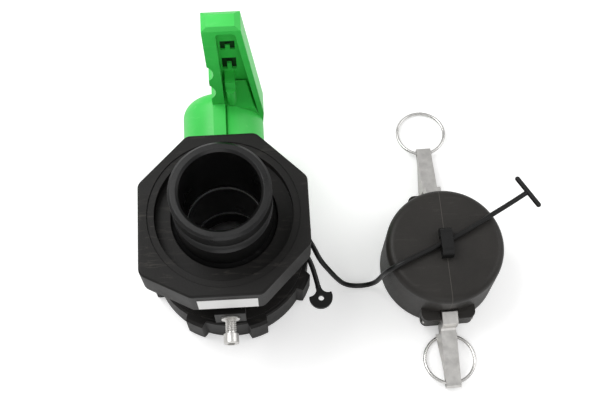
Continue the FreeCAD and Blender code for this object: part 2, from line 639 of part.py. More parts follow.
def make_lever():
    axis_z = d.ball_height
    tip_z = axis_z + d.lever_length
    root_right = hub_radius
    back_root = d.hub_end
    hub = cylinder("hub_blank", hub_radius, d.hub_end - d.hub_start, (0, d.hub_start, axis_z), "Y")
    hub = rounded("hub_rounded", hub, d.hub_round, lambda e: (
        e.Curve.TypeId == "Part::GeomCircle" and abs(e.Curve.Center.y - float(d.hub_end)) < 0.01))
    corner = d.lever_tip_wall / 2
    outline = [
        (d.lever_root_left, axis_z),
        (root_right, axis_z),
        (root_right + 0.8, axis_z + hub_radius / 2),
        (d.lever_tip_right, tip_z - corner),
        (d.lever_tip_right - corner, tip_z),
        (d.lever_tip_left + corner, tip_z),
        (d.lever_tip_left, tip_z - corner),
    ]
    side = [
        (d.lever_front_root, axis_z),
        (d.lever_front_tip - 1.5, tip_z - corner),
        (d.lever_front_tip, tip_z),
        (d.lever_back_tip - corner, tip_z),
        (d.lever_back_tip, tip_z - corner),
        (back_root, axis_z),
    ]
    arm = lever_slab("arm_blank", outline, side)
    grip = d.lever_grip_wall
    wall = d.lever_wall
    hollow = lever_slab("arm_hollow", [
        (d.lever_root_left + grip, axis_z),
        (root_right - wall, axis_z),
        (root_right + 0.8 - wall, axis_z + hub_radius / 2),
        (d.lever_tip_right - wall, tip_z - d.lever_tip_wall - 1.5),
        (d.lever_tip_right - wall - 1.5, tip_z - d.lever_tip_wall),
        (d.lever_tip_left + grip + 1.5, tip_z - d.lever_tip_wall),
        (d.lever_tip_left + grip, tip_z - d.lever_tip_wall - 1.5),
    ], [
        (d.hub_start, axis_z),
        (d.hub_start, tip_z),
        (d.lever_back_tip - wall, tip_z),
        (back_root - wall, axis_z),
    ])
    fingers = []
    for k in range(int(float(d.finger_count))):
        fingers.append(cylinder(
            f"finger_{k}", d.finger_radius, hub_radius * 2,
            (d.lever_root_left - d.finger_radius + d.finger_depth, d.hub_start,
             axis_z + d.finger_first + d.finger_pitch * k), "Y"))
    middle = (d.lever_tip_left + grip + d.lever_tip_right - wall) / 2
    windows = []
    for name, rise, tall in (
            ("lower", d.lower_slot, d.lower_window), ("upper", d.upper_slot, d.slot_height)):
        left, right = middle - d.slot_width / 2, middle + d.slot_width / 2
        low, high = axis_z + rise, axis_z + rise + tall
        windows.append(padded(f"window_{name}", "XZ_Plane", [
            (left, low), (middle - d.window_tab / 2, low), (middle - d.window_tab / 2, low + tall / 2),
            (middle + d.window_tab / 2, low + tall / 2), (middle + d.window_tab / 2, low),
            (right, low), (right, high), (left, high),
        ], d.lever_front_tip, d.lever_back_tip + 2))
    slider_low = axis_z + d.lower_slot - 3
    slider_tall = d.upper_slot - d.lower_slot + d.slot_height + 6
    pocket_slider = box("slider_pocket", (middle - d.slider_width / 2, d.slider_front, slider_low),
                        (d.slider_width, hub_radius, slider_tall))
    node("lock_slider", box(
        "slider_plate",
        (middle - d.slider_width / 2 + d.seat_gap, d.slider_front + d.seat_gap, slider_low + d.seat_gap),
        (d.slider_width - d.seat_gap * 2, d.slider_thickness, slider_tall - d.seat_gap * 2)))
    arm = cut("arm_hollowed", arm, hollow, pocket_slider, *fingers, *windows)
    # the hub runs up into the hollow as a ramp behind the lock tongue
    ramp_front = d.lever_front_root + 0.5
    ramp = lever_slab("root_ramp_slab", [
        (d.lever_root_left + grip - 1, axis_z),
        (root_right - wall + 1, axis_z),
        (root_right - wall + 1, axis_z + hub_radius / 2),
        (d.lever_tip_right, axis_z + hub_radius + d.root_ramp),
        (d.lever_root_left + grip - 1, axis_z + hub_radius + d.root_ramp),
    ], [
        (ramp_front, axis_z),
        (ramp_front, axis_z + hub_radius - 3),
        (back_root - wall, axis_z + hub_radius + d.root_ramp),
        (back_root, axis_z),
    ])
    # the rib that carries the grip wall over the hub, with the slit beside it
    rib = box("hub_rib", (d.lever_root_left, d.hub_start, axis_z),
              (grip, d.lever_back_tip - d.hub_start - d.hub_round, hub_radius + 3))
    # the lock tongue stands on the hollow's floor and reaches over the hub
    tongue_left = d.lever_root_left + grip + 1.2
    nose_rise = axis_z + hub_radius / 2
    tongue = box("lock_tongue", (tongue_left, d.tongue_front, nose_rise),
                 (d.latch_width, d.hub_end - d.tongue_front, d.lower_slot - hub_radius / 2 - 2))
    nose = cylinder("lock_nose", d.latch_width / 2, hub_radius + 4,
                    (tongue_left + d.latch_width / 2, d.tongue_front, nose_rise))
    whole = fuse("lever_whole", hub, arm, ramp, rib, tongue, nose)
    skirt = cylinder("hub_skirt_room", hub_room, d.boss_end + 3 - d.hub_start,
                     (0, d.hub_start, axis_z), "Y")
    drive = common(
        "drive_room",
        cylinder("drive_round", d.stem_radius + d.run_gap, d.stem_tip - d.boss_end, (0, d.boss_end, axis_z), "Y"),
        box("drive_box", (-(d.drive_flat / 2) - d.run_gap, d.boss_end, axis_z - hub_radius),
            (d.drive_flat + d.run_gap * 2, d.stem_tip - d.boss_end, hub_radius * 2)))
    pocket_start = d.hub_end - d.lever_screw_sink
    pocket = cylinder("screw_pocket", d.lever_screw_head + 1.2, d.lever_back_tip - pocket_start,
                      (0, pocket_start, axis_z), "Y")
    through = cylinder("screw_through", d.lever_screw_radius + d.run_gap, d.hub_round * 2,
                       (0, pocket_start - d.hub_round * 2, axis_z), "Y")
    slit = box("grip_slit", (d.lever_root_left + grip, d.hub_start - 1, axis_z + hub_radius - 1.5),
               (1.0, d.lever_front_root - d.hub_start + 3, 8))
    node("lever", cut("lever_cut", whole, skirt, drive, pocket, through, slit))
    head = cylinder("lever_screw_head_blank", d.lever_screw_head, d.lever_screw_sink - 1,
                    (0, pocket_start, axis_z), "Y")
    shank = cylinder("lever_screw_shank", d.lever_screw_radius, d.lever_screw_length,
                     (0, pocket_start - d.lever_screw_length, axis_z), "Y")
    node("lever_screw", fuse("lever_screw_whole", head, shank))


# --------------------------------------------------------------------------
# Outlet: octagonal flange, cam-groove adapter and gasket
# --------------------------------------------------------------------------
def make_outlet():
    half = d.octagon_half
    vertex = half * math.tan(math.radians(22.5))
    corner = d.lug_corner
    octagon = padded("octagon_blank", "XY_Plane", [
        (half, -vertex), (half, vertex), (vertex, half), (-vertex, half),
        (-half, vertex), (-half, -corner), (-vertex, -half), (vertex, -half),
    ], d.octagon_base, octagon_top)
    octagon = rounded("octagon_rounded", octagon, d.octagon_corner, lambda e: (
        abs(e.BoundBox.ZLength - float(d.octagon_height)) < 0.01))
    octagon = rounded("octagon_softened", octagon, d.octagon_edge, lambda e: (
        e.BoundBox.ZLength < 0.01 and abs(e.BoundBox.ZMax - float(octagon_top)) < 0.01))
    dish_low = octagon_top - d.dish_depth
    bore = cylinder("octagon_bore", d.thread_radius + d.seat_gap, web_low - d.octagon_base, (0, 0, d.octagon_base))
    window = cylinder("octagon_window", d.collar_radius, dish_low - web_low, (0, 0, web_low))
    dish = cylinder("octagon_dish", d.dish_radius, d.dish_depth, (0, 0, dish_low))
    sunk = tube("sunk_ring", d.face_groove_radius, d.dish_radius, octagon_top - d.face_groove_depth, octagon_top)
    node("outlet_flange", cut("octagon_cut", octagon, bore, window, dish, sunk))
    lead = d.rim_chamfer
    root = d.collar_radius - d.seat_gap * 3
    adapter = revolved("adapter_turned", [
        (d.bore_radius, flange_low),
        (d.thread_radius - 0.2, flange_low),
        (d.thread_radius - 0.2, flange_high),
        (root, flange_high),
        (root, dish_low - 1.5),
        (d.adapter_radius, dish_low + 1.5),
        (d.adapter_radius, d.adapter_tip - lead),
        (d.adapter_radius - lead, d.adapter_tip),
        (d.bore_radius + lead, d.adapter_tip),
        (d.bore_radius, d.adapter_tip - lead),
    ])
    groove = torus("cam_groove", d.cam_groove_floor + d.cam_groove_radius, d.cam_groove_radius,
                   (0, 0, d.adapter_tip - d.cam_groove_drop))
    # a quarter turn keeps the seams of ring and tube apart, or the cut does nothing
    groove.Placement = Placement(groove.Placement.Base, Rotation(Vector(0, 0, 1), 90))
    node("camlock_adapter", cut("adapter_grooved", adapter, groove))
    node("outlet_gasket", tube("outlet_gasket_ring", d.thread_radius - 1, seat_outer,
                               d.thread_top, flange_low))


# --------------------------------------------------------------------------
# Earthing screw, washer and insert on the side away from the lever
# --------------------------------------------------------------------------
def make_earthing():
    axis_z = d.ball_height
    face = -d.earth_boss_face
    washer_out = face - d.washer_thickness
    head_in = washer_out - d.earth_head_stand
    insert = cut(
        "insert_bored",
        cylinder("insert_blank", d.insert_radius, d.insert_length, (0, face, axis_z), "Y"),
        cylinder("insert_bore", d.earth_screw_radius + d.run_gap, d.insert_length, (0, face, axis_z), "Y"))
    node("earthing_insert", insert)
    node("earthing_washer", cut(
        "washer_holed",
        cylinder("washer_blank", d.washer_radius, d.washer_thickness, (0, washer_out, axis_z), "Y"),
        cylinder("washer_hole", d.earth_screw_radius + d.run_gap, d.washer_thickness, (0, washer_out, axis_z), "Y")))
    shank = cylinder("earth_shank", d.earth_screw_radius,
                     d.earth_head_stand + d.washer_thickness + d.insert_length - 1,
                     (0, head_in, axis_z), "Y")
    head = cylinder("earth_head", d.earth_head_radius, d.earth_head_length,
                    (0, head_in - d.earth_head_length, axis_z), "Y")
    head = rounded("earth_head_rounded", head, 0.7, lambda e: (
        e.Curve.TypeId == "Part::GeomCircle"
        and abs(e.Curve.Center.y - float(head_in - d.earth_head_length)) < 0.01))
    socket = doc.addObject("Part::Prism", "earth_socket")
    at(bind(socket, Polygon=6, Circumradius=d.earth_head_radius * 0.56, Height=d.earth_head_length * 0.55),
       (0, head_in - d.earth_head_length, axis_z), "Y")
    node("earthing_screw", cut("earth_screw_whole", fuse("earth_screw_blank", shank, head), socket))


# --------------------------------------------------------------------------
# Dust cap in its own frame: mouth at the origin, arms along +Y and -Y
# --------------------------------------------------------------------------
def make_cap():
    top = d.cap_height
    shoulder = d.cap_radius - d.cap_draft
    inner_top = top - d.cap_top_wall
    gasket_low = inner_top - d.cap_gasket_thickness
    shell = revolved("cap_shell", [
        (0, inner_top),
        (d.cap_bore + 0.6, inner_top),
        (d.cap_bore + 0.6, gasket_low),
        (d.cap_bore, gasket_low),
        (d.cap_bore, 1.0),
        (d.cap_bore + 1.0, 0),
        (d.cap_radius - 1.0, 0),
        (d.cap_radius, 1.0),
        (shoulder, top - 1.0),
        (shoulder, top),
        (0, top),
    ])
    shell = rounded("cap_shell_rounded", shell, d.cap_shoulder, lambda e: (
        e.Curve.TypeId == "Part::GeomCircle" and abs(e.Curve.Center.z - float(top)) < 0.01
        and e.BoundBox.XLength > float(d.cap_bore)))
    slot = d.arm_width + d.arm_play * 2
    ears = []
    for side in (1, -1):
        start = d.cap_bore + 2
        low = start if side > 0 else -d.ear_reach
        block = box(f"ear_block_{side + 1}", (-(slot / 2) - d.ear_width, low, d.ear_foot),
                    (slot + d.ear_width * 2, d.ear_reach - start, d.ear_height - d.ear_foot))
        reach = float(d.ear_reach)
        block = rounded(f"ear_block_round_{side + 1}", block, 4.5, lambda e: (
            abs(abs(e.BoundBox.Center.y) - reach) < 0.01 and e.BoundBox.XLength < 0.01
            and e.BoundBox.YLength < 0.01))
        ears.append(block)
    arch_low = top - 1
    arch = box("eyelet_block", (-(d.eyelet_thickness / 2), -(d.eyelet_length / 2), arch_low),
               (d.eyelet_thickness, d.eyelet_length, d.eyelet_rise + 1))
    arch_top = float(top + d.eyelet_rise)
    arch = rounded("eyelet_rounded", arch, d.eyelet_rise * 0.55, lambda e: (
        abs(e.BoundBox.Center.z - arch_top) < 0.01 and e.BoundBox.XLength > 1))
    whole = fuse("cap_whole", shell, *ears, arch)
    tools = [
        cylinder("cap_socket_room", d.cap_bore, inner_top),
        cylinder("cap_gasket_room", d.cap_bore + 0.6, d.cap_gasket_thickness, (0, 0, gasket_low)),
    ]
    for side in (1, -1):
        start = d.cap_bore - 3
        low = start if side > 0 else -(d.ear_reach + 2)
        tools.append(box(f"arm_slot_{side + 1}", (-(slot / 2), low, -1),
                         (slot, d.ear_reach + 2 - start, d.pin_height + d.cam_reach + 1.5)))
        flat = d.pin_reach - d.arm_top - 0.5
        tools.append(box(f"arm_rest_{side + 1}", (-(slot / 2), flat if side > 0 else -(d.ear_reach + 2), d.pin_height),
                         (slot, d.ear_reach + 2 - flat, top)))
        pin_y = d.pin_reach if side > 0 else -d.pin_reach
        tools.append(cylinder(f"pin_bore_{side + 1}", d.pin_radius + d.run_gap, slot + d.ear_width * 2,
                              (-(slot / 2) - d.ear_width, pin_y, d.pin_height), "X"))
    eye = d.strap_radius + 1.0
    tools.append(box("eyelet_hole", (-d.eyelet_thickness, -(d.eyelet_length / 2) + d.eyelet_foot, top),
                     (d.eyelet_thickness * 2, d.eyelet_length - d.eyelet_foot * 2, eye * 2)))
    node("cap_body", cut("cap_cut", whole, *tools), cap_place)
    gasket = tube("cap_gasket_ring", d.cap_bore + 0.5, d.cap_bore - d.cap_gasket_width,
                  gasket_low, inner_top)
    node("cap_gasket", gasket, cap_place)


def arm_place(side):
    """An arm's pin, with the arm hanging outward below level."""
    turn = Rotation(Vector(0, 0, 1), 0 if side < 0 else 180)
    droop = Rotation(Vector(1, 0, 0), float(d.arm_droop))
    pin = Vector(0, side * float(d.pin_reach), float(d.pin_height))
    return cap_place * Placement(pin, turn * droop)


def make_arms():
    """Each arm is made along -Y from its pin at the origin, top side inward."""
    for side, tag in ((1, "a"), (-1, "b")):
        half = d.arm_width / 2
        top = d.arm_top
        tip = top - d.arm_tip_depth
        # a closed arm's skirt starts above the ears
        skirt_start = d.ear_height - d.pin_height + 1.5
        plate = padded(f"arm_{tag}_plate", "YZ_Plane", [
            (-skirt_start, top - d.arm_root_depth),
            (d.cam_half - 1, top - d.arm_root_depth),
            (d.cam_half, tip),
            (d.cam_half, d.cam_reach - 2),
            (d.cam_half - 2, d.cam_reach),
            (-d.cam_half + 1, d.cam_reach),
            (-d.cam_half, d.cam_reach - 2),
            (-d.cam_half - 1.5, top + 1),
            (-d.cam_half - 3, top),
            (-d.arm_length + 1.5, top),
            (-d.arm_length, top - 1.5),
            (-d.arm_length, tip),
        ], -half, half)
        skirt = lofted(f"arm_{tag}_skirt", [
            (-half - d.arm_flare, top - d.arm_root_depth),
            (half + d.arm_flare, top - d.arm_root_depth),
            (half, top - 1),
            (-half, top - 1),
        ], skirt_start, [
            (-half, tip), (half, tip), (half, top - 1.5), (-half, top - 1.5),
        ], d.arm_length - d.ring_hole_back * 2.5)
        arm = fuse(f"arm_{tag}_whole", plate, skirt)
        hole = cylinder(f"arm_{tag}_pin_hole", d.pin_radius + d.run_gap, d.arm_width + 2,
                        (-half - 1, 0, 0), "X")
        ring_hole = cylinder(f"arm_{tag}_ring_hole", d.ring_hole, d.arm_width + 2,
                             (-half - 1, -d.arm_length + d.ring_hole_back, top - d.arm_tip_depth / 2), "X")
        node(f"cam_arm_{tag}", cut(f"arm_{tag}_cut", arm, hole, ring_hole), arm_place(side))
        reach = d.arm_width / 2 + d.arm_play + d.ear_width - 1
        pin = cylinder(f"pin_{tag}_blank", d.pin_radius, reach * 2, (-reach, 0, 0), "X")
        node(f"cam_pin_{tag}", pin, cap_place * Placement(
            Vector(0, side * float(d.pin_reach), float(d.pin_height)), Rotation()))


def ring_place(side):
    """A pull ring's hole end and the lie of the ring on the ground."""
    hole = arm_place(side).multVec(Vector(
        0, -float(d.arm_length - d.ring_hole_back), float(d.arm_top - d.arm_tip_depth / 2)))
    rise = hole.z - float(d.ring_wire) - 0.1
    lean = math.degrees(math.asin(max(-0.9, min(0.9, rise / (2 * float(d.ring_radius))))))
    return hole, lean


def make_rings():
    """Ring a lies outward beyond its arm; ring b is folded back under its arm."""
    for side, tag in ((1, "a"), (-1, "b")):
        hole, lean = ring_place(side)
        ring = torus(f"ring_{tag}_blank", d.ring_radius, d.ring_wire)
        outward = cap_place.Rotation.multVec(Vector(0, 1, 0))
        sideways = cap_place.Rotation.multVec(Vector(1, 0, 0))
        tilt = Rotation(sideways, -lean)
        reach = tilt.multVec(outward * float(d.ring_radius - 0.35))
        node(f"pull_ring_{tag}", ring, Placement(hole + reach, tilt * cap_place.Rotation))


# --------------------------------------------------------------------------
# Strap: a loop round the body, a tail with an anchor head, and the free lead
# that runs to the cap's eyelet and ends in a cross bar
# --------------------------------------------------------------------------
LEAD_ROUTE = [
    (36.2, 20.9, 35.5), (48.5, 13.8, 35.7), (57.0, -1.5, 35.7), (61.4, -12.2, 34.6),
    (67.8, -18.0, 27.0), (73.2, -20.8, 16.0), (78.6, -22.2, 5.6), (86.4, -22.9, 1.7),
    (94.7, -23.1, 3.2), (100.5, -23.2, 9.4), (102.6, -23.8, 21.0), (103.8, -24.6, 31.0),
]
OVER_ROUTE = [
    (103.9, -24.65, 31.6), (105.0, -25.8, 41.5), (108.2, -26.3, 51.5), (117.0, -23.0, 55.0),
    (131.0, -16.6, 53.6), (146.9, -9.9, 53.7), (163.0, -2.2, 54.2), (178.5, 6.9, 54.6),
    (192.5, 14.6, 54.2), (204.6, 22.0, 53.2),
]
TAIL_ROUTE = [
    (41.7, 2.5, 35.4), (48.0, -2.5, 35.9), (54.2, -11.5, 35.6), (57.4, -22.0, 34.2), (59.4, -32.0, 32.6),
]


def tube_along(name, route, radius):
    """A tube of straight runs and tangent arcs through a route; prints its arcs."""
    points = [Vector(*p) for p in route]
    edges = []
    radii = []
    start = points[0]
    for i in range(1, len(points) - 1):
        back = points[i - 1] - points[i]
        ahead = points[i + 1] - points[i]
        shorter = min(back.Length, ahead.Length)
        half_turn = (math.pi - back.getAngle(ahead)) / 2
        trim = 0.45 * shorter
        radii.append(trim / math.tan(half_turn))
        back.normalize()
        ahead.normalize()
        arc_start = points[i] + back * trim
        arc_end = points[i] + ahead * trim
        toward = back + ahead
        toward.normalize()
        bend = radii[-1]
        middle = points[i] + toward * (bend / math.cos(half_turn) - bend)
        edges.append(Part.LineSegment(start, arc_start).toShape())
        edges.append(Part.Arc(arc_start, middle, arc_end).toShape())
        start = arc_end
    edges.append(Part.LineSegment(start, points[-1]).toShape())
    path = Part.Wire(edges)
    direction = points[1] - points[0]
    ring = Part.Wire([Part.makeCircle(radius, points[0], direction)])
    solid = path.makePipeShell([ring], True, True)
    expected = math.pi * radius * radius * path.Length
    print(f"{name}: length {path.Length:.1f}, arc radii {[round(r, 1) for r in radii]}, "
          f"volume over section times length {solid.Volume / expected:.4f}")
    return solid


def make_strap():
    radius = float(d.strap_radius)
    node("strap_loop", torus("loop_ring", d.neck_radius + d.strap_radius, d.strap_radius,
                             (0, 0, loop_height)))
    node("strap_lead", shape_piece("lead", tube_along("strap_lead", LEAD_ROUTE, radius)))
    node("strap_tail", shape_piece("tail", tube_along("strap_tail", TAIL_ROUTE, radius)))
    node("strap_over_cap", shape_piece("over", tube_along("strap_over_cap", OVER_ROUTE, radius)))
    end = Vector(*OVER_ROUTE[-1])
    before = Vector(*OVER_ROUTE[-2])
    along = end - before
    along.normalize()
    across = along.cross(Vector(0, 0, 1))
    across.normalize()
    middle = end + along * radius
    low = middle - across * (float(d.tbar_length) / 2)
    bar = Part.makeCylinder(radius, float(d.tbar_length), low, across)
    for ball_end in (low, low + across * float(d.tbar_length)):
        bar = bar.fuse(Part.makeSphere(radius, ball_end))
    node("strap_end_bar", shape_piece("end_bar", bar.removeSplitter()))
    tail_end = Vector(*TAIL_ROUTE[-1])
    tail_way = tail_end - Vector(*TAIL_ROUTE[-2])
    angle = math.degrees(math.atan2(tail_way.y, tail_way.x)) + 90
    head = d.anchor_radius
    disc = cylinder("anchor_disc", head, d.anchor_thickness)
    bites = []
    for side in (-1, 1):
        bites.append(cylinder(f"anchor_bite_{side + 1}", head * 0.62, d.anchor_thickness,
                              ((head * 0.62 + d.strap_radius) * side, head * 0.85, 0)))
    hole = cylinder("anchor_eye", d.anchor_hole, d.anchor_thickness, (0, -(head * 0.1), 0))
    back = d.anchor_radius * 0.78
    turn = Rotation(Vector(0, 0, 1), angle)
    place = Placement(tail_end + turn.multVec(Vector(0, -float(back), -float(d.anchor_thickness) / 2)), turn)
    node("anchor_head", cut("anchor_cut", disc, *bites, hole), place)


make_union_nut()
make_valve_body()
make_ball_and_seats()
make_stem()
make_lever()
make_outlet()
make_earthing()
make_cap()
make_arms()
make_rings()
make_strap()
doc.recompute()

# --------------------------------------------------------------------------
# Every object and every sub-part is sound before anything is written
# --------------------------------------------------------------------------
faults = [f"{o.Name}: {o.State}" for o in doc.Objects if {"Invalid", "Error"} & set(o.State)]
for label, thing in NODES.items():
    if thing.Shape.isNull() or not thing.Shape.isValid() or not thing.Shape.Solids:
        faults.append(f"{label}: no sound shape")
if faults:
    print("faults:", *faults, sep="\n  ")
    sys.exit(1)
for label, thing in NODES.items():
    thing.Shape.exportStep(f"parts/{label}.step")
print(f"{len(NODES)} sub-parts written")
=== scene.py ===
# %% [markdown]
# # A tank valve with a tethered dust cap
#
# The valve stands on its union nut, the lever behind it and the dust cap beside it on a
# strap. The exact solids come from the CAD model, and this lesson adds light, finishes and
# the small pieces that look better when they are drawn here: the strap, the blank label and
# the threads. Lengths are in metres, +Z runs up the pipe and +Y points towards the lever.

# %% Load the solids
import json
import math

import bpy
from mathutils import Matrix, Vector


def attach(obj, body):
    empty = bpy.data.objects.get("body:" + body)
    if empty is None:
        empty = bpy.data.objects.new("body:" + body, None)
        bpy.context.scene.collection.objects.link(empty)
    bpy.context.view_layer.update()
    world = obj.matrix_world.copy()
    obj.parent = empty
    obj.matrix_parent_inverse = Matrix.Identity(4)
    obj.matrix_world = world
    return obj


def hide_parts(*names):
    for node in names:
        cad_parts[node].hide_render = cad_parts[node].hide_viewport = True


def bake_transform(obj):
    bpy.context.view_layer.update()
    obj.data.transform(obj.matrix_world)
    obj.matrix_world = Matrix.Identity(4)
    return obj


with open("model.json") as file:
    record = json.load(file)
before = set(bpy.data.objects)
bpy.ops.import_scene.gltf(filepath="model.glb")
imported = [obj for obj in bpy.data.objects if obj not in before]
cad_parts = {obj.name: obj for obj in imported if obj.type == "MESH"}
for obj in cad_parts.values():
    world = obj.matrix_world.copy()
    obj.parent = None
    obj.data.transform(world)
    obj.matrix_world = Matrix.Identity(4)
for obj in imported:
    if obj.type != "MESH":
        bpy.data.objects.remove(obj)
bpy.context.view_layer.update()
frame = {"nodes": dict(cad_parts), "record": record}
NODES = frame["nodes"]
MM = 0.001

# %% [markdown]
# ## Camera
#
# The camera looks down steeply at the open pipe, so both the rim and the cap's top show. A
# lens near 67 mm keeps the far lever from shrinking. The three turns could be one tracked
# target, but written out they also hold the camera's slight roll.

# %% Place the camera
CAMERA_PLACE = (0.0318, -0.2391, 0.7730)
CAMERA_LENS = 67.46
HEADING, TILT, ROLL = math.radians(-3.9), math.radians(20.22), math.radians(0.72)
camera_data = bpy.data.cameras.new("camera")
camera_data.sensor_width = 36.0
camera_data.lens = CAMERA_LENS
camera = bpy.data.objects.new("camera", camera_data)
bpy.context.scene.collection.objects.link(camera)
turn = Matrix.Rotation(HEADING, 4, "Z") @ Matrix.Rotation(TILT, 4, "X") @ Matrix.Rotation(ROLL, 4, "Z")
camera.matrix_world = Matrix.Translation(CAMERA_PLACE) @ turn
bpy.context.scene.camera = camera
print("camera at", CAMERA_PLACE, "lens", CAMERA_LENS)

# %% [markdown]
# ## Light
#
# Black plastic shows its shape only by soft highlights, so three large square lamps stand
# round the valve: one high at the left, a weaker one at the right, and a faint one in front.
# An even white world fills the shadows. Smaller lamps would give hard, glaring spots.


# %% Lamps and world
def lamp(name, place, aim, size, power):
    """A soft square lamp that looks at a point."""
    data = bpy.data.lights.new(name, "AREA")
    data.shape = "SQUARE"
    data.size = size
    data.energy = power
    thing = bpy.data.objects.new(name, data)
    bpy.context.scene.collection.objects.link(thing)
    thing.location = place
    thing.rotation_euler = (Vector(aim) - Vector(place)).to_track_quat("-Z", "Y").to_euler()
    return thing


VALVE_AIM = (0.05, -0.02, 0.05)
CAP_AIM = (0.08, -0.02, 0.05)
WORLD_STRENGTH = 0.55
lamp("key_lamp", (-0.55, 0.35, 1.1), VALVE_AIM, 0.7, 8.0)
lamp("side_lamp", (1.1, 0.2, 0.9), CAP_AIM, 0.9, 4.0)
lamp("front_lamp", (0.1, -1.1, 0.7), VALVE_AIM, 0.9, 2.6)

world = bpy.data.worlds.new("studio")
bpy.context.scene.world = world
world.use_nodes = True
world.node_tree.nodes["Background"].inputs["Color"].default_value = (1.0, 1.0, 1.0, 1.0)
world.node_tree.nodes["Background"].inputs["Strength"].default_value = WORLD_STRENGTH
bpy.context.scene.view_settings.view_transform = "Standard"
print("lamps:", len(bpy.data.lights))

# %% [markdown]
# ## Floor
#
# The valve stands on pale paper. A wide plane is enough, just under the parts so that no two
# faces share a height.

# %% Add the floor
FLOOR_SIZE = 6.0
FLOOR_DROP = 0.4 * MM
bpy.ops.mesh.primitive_plane_add(size=FLOOR_SIZE, location=(0.0, 0.0, -FLOOR_DROP))
floor = bpy.context.object
floor.name = "floor"
print("floor", FLOOR_SIZE, "m wide")

# %% [markdown]
# ## Helpers for node trees
#
# Materials here are built in code, node by node. These helpers keep that short: one adds a
# node with its settings and links, one makes a colour ramp, one makes a group.


# %% Node helpers
def new_group(name, inputs, outputs):
    """A shader node group with its sockets; returns the tree and its two ends."""
    tree = bpy.data.node_groups.new(name, "ShaderNodeTree")
    for label, kind, default in inputs:
        socket = tree.interface.new_socket(label, in_out="INPUT", socket_type=kind)
        if default is not None:
            socket.default_value = default
    for label, kind in outputs:
        tree.interface.new_socket(label, in_out="OUTPUT", socket_type=kind)
    return tree, tree.nodes.new("NodeGroupInput"), tree.nodes.new("NodeGroupOutput")


def put(tree, kind, settings=None, **inputs):
    """A node with its settings; an input is a value or another node's socket."""
    node = tree.nodes.new(kind)
    for key, value in (settings or {}).items():
        setattr(node, key, value)
    for key, value in inputs.items():
        socket = node.inputs[int(key[1:]) if key[0] == "_" and key[1:].isdigit() else key.replace("_", " ")]
        if isinstance(value, bpy.types.NodeSocket):
            tree.links.new(value, socket)
        else:
            socket.default_value = value
    return node


def ramp(tree, source, stops):
    """A colour ramp over (position, grey or colour) stops."""
    node = tree.nodes.new("ShaderNodeValToRGB")
    bar = node.color_ramp
    while len(bar.elements) < len(stops):
        bar.elements.new(0.5)
    for element, (position, shade) in zip(bar.elements, stops):
        element.position = position
        element.color = (*shade, 1.0) if isinstance(shade, tuple) else (shade, shade, shade, 1.0)
    tree.links.new(source, node.inputs["Fac"])
    return node.outputs["Color"]


def math_node(tree, operation, first, second=0.0):
    return put(tree, "ShaderNodeMath", {"operation": operation}, _0=first, _1=second).outputs[0]


# %% [markdown]
# ## Shared effects: moulded grain and scuffs
#
# A steel mould leaves a fine grain on plastic, and handling leaves short pale streaks in
# drifting patches. Both effects are node groups, built once and used with other values in
# each material, so all pieces look as if they came from the same maker.

# %% Moulded grain, as a height
GRAIN_SCALE = 1400.0
grain_tree, grain_in, grain_out = new_group(
    "moulded_grain",
    [("Vector", "NodeSocketVector", None), ("Size", "NodeSocketFloat", 1.0)],
    [("Height", "NodeSocketFloat")],
)
grain_scale = math_node(grain_tree, "DIVIDE", GRAIN_SCALE, grain_in.outputs["Size"])
grain_fine = put(grain_tree, "ShaderNodeTexNoise", Vector=grain_in.outputs["Vector"], Scale=grain_scale,
                 Detail=3.0, Roughness=0.6)
grain_cells = put(grain_tree, "ShaderNodeTexVoronoi", Vector=grain_in.outputs["Vector"],
                  Scale=math_node(grain_tree, "MULTIPLY", grain_scale, 0.7))
grain_sum = math_node(grain_tree, "ADD", grain_fine.outputs["Fac"],
                      math_node(grain_tree, "MULTIPLY", grain_cells.outputs["Distance"], 0.45))
grain_tree.links.new(grain_sum, grain_out.inputs["Height"])

# %% Scuffs: short pale streaks in drifting patches
scuff_tree, scuff_in, scuff_out = new_group(
    "scuffs",
    [("Vector", "NodeSocketVector", None), ("Amount", "NodeSocketFloat", 0.5)],
    [("Mask", "NodeSocketFloat"), ("Patches", "NodeSocketFloat")],
)
stretch = put(scuff_tree, "ShaderNodeMapping", Vector=scuff_in.outputs["Vector"])
stretch.inputs["Scale"].default_value = (60.0, 420.0, 160.0)
stretch.inputs["Rotation"].default_value = (0.3, 0.2, 0.9)
streaks = put(scuff_tree, "ShaderNodeTexNoise", Vector=stretch.outputs["Vector"], Scale=1.0, Detail=5.0,
              Roughness=0.65, Distortion=0.6)
patches = put(scuff_tree, "ShaderNodeTexNoise", Vector=scuff_in.outputs["Vector"], Scale=34.0, Detail=4.0,
              Roughness=0.55)
streak_mask = ramp(scuff_tree, streaks.outputs["Fac"], [(0.55, 0.0), (0.72, 1.0)])
patch_mask = ramp(scuff_tree, patches.outputs["Fac"], [(0.40, 0.0), (0.66, 1.0)])
both = math_node(scuff_tree, "MULTIPLY", streak_mask, patch_mask)
scuff_tree.links.new(math_node(scuff_tree, "MULTIPLY", both, scuff_in.outputs["Amount"]),
                     scuff_out.inputs["Mask"])
scuff_tree.links.new(patches.outputs["Fac"], scuff_out.inputs["Patches"])
print("groups:", [group.name for group in bpy.data.node_groups])

# %% [markdown]
# ## Plastics and metals
#
# One recipe serves every moulded plastic: two close tones, worn streaks, uneven shine and
# grain. Another serves the cast and drawn steel. Bevelled normals round every sharp edge a
# little in the light, which is cheaper than rounding the edges of all the solids.


# %% Material recipes
def start_material(name):
    """A new material: its tree, its shader and the object coordinates."""
    made = bpy.data.materials.new(name)
    made.use_nodes = True
    tree = made.node_tree
    shader = tree.nodes["Principled BSDF"]
    place = tree.nodes.new("ShaderNodeTexCoord").outputs["Object"]
    return made, tree, shader, place


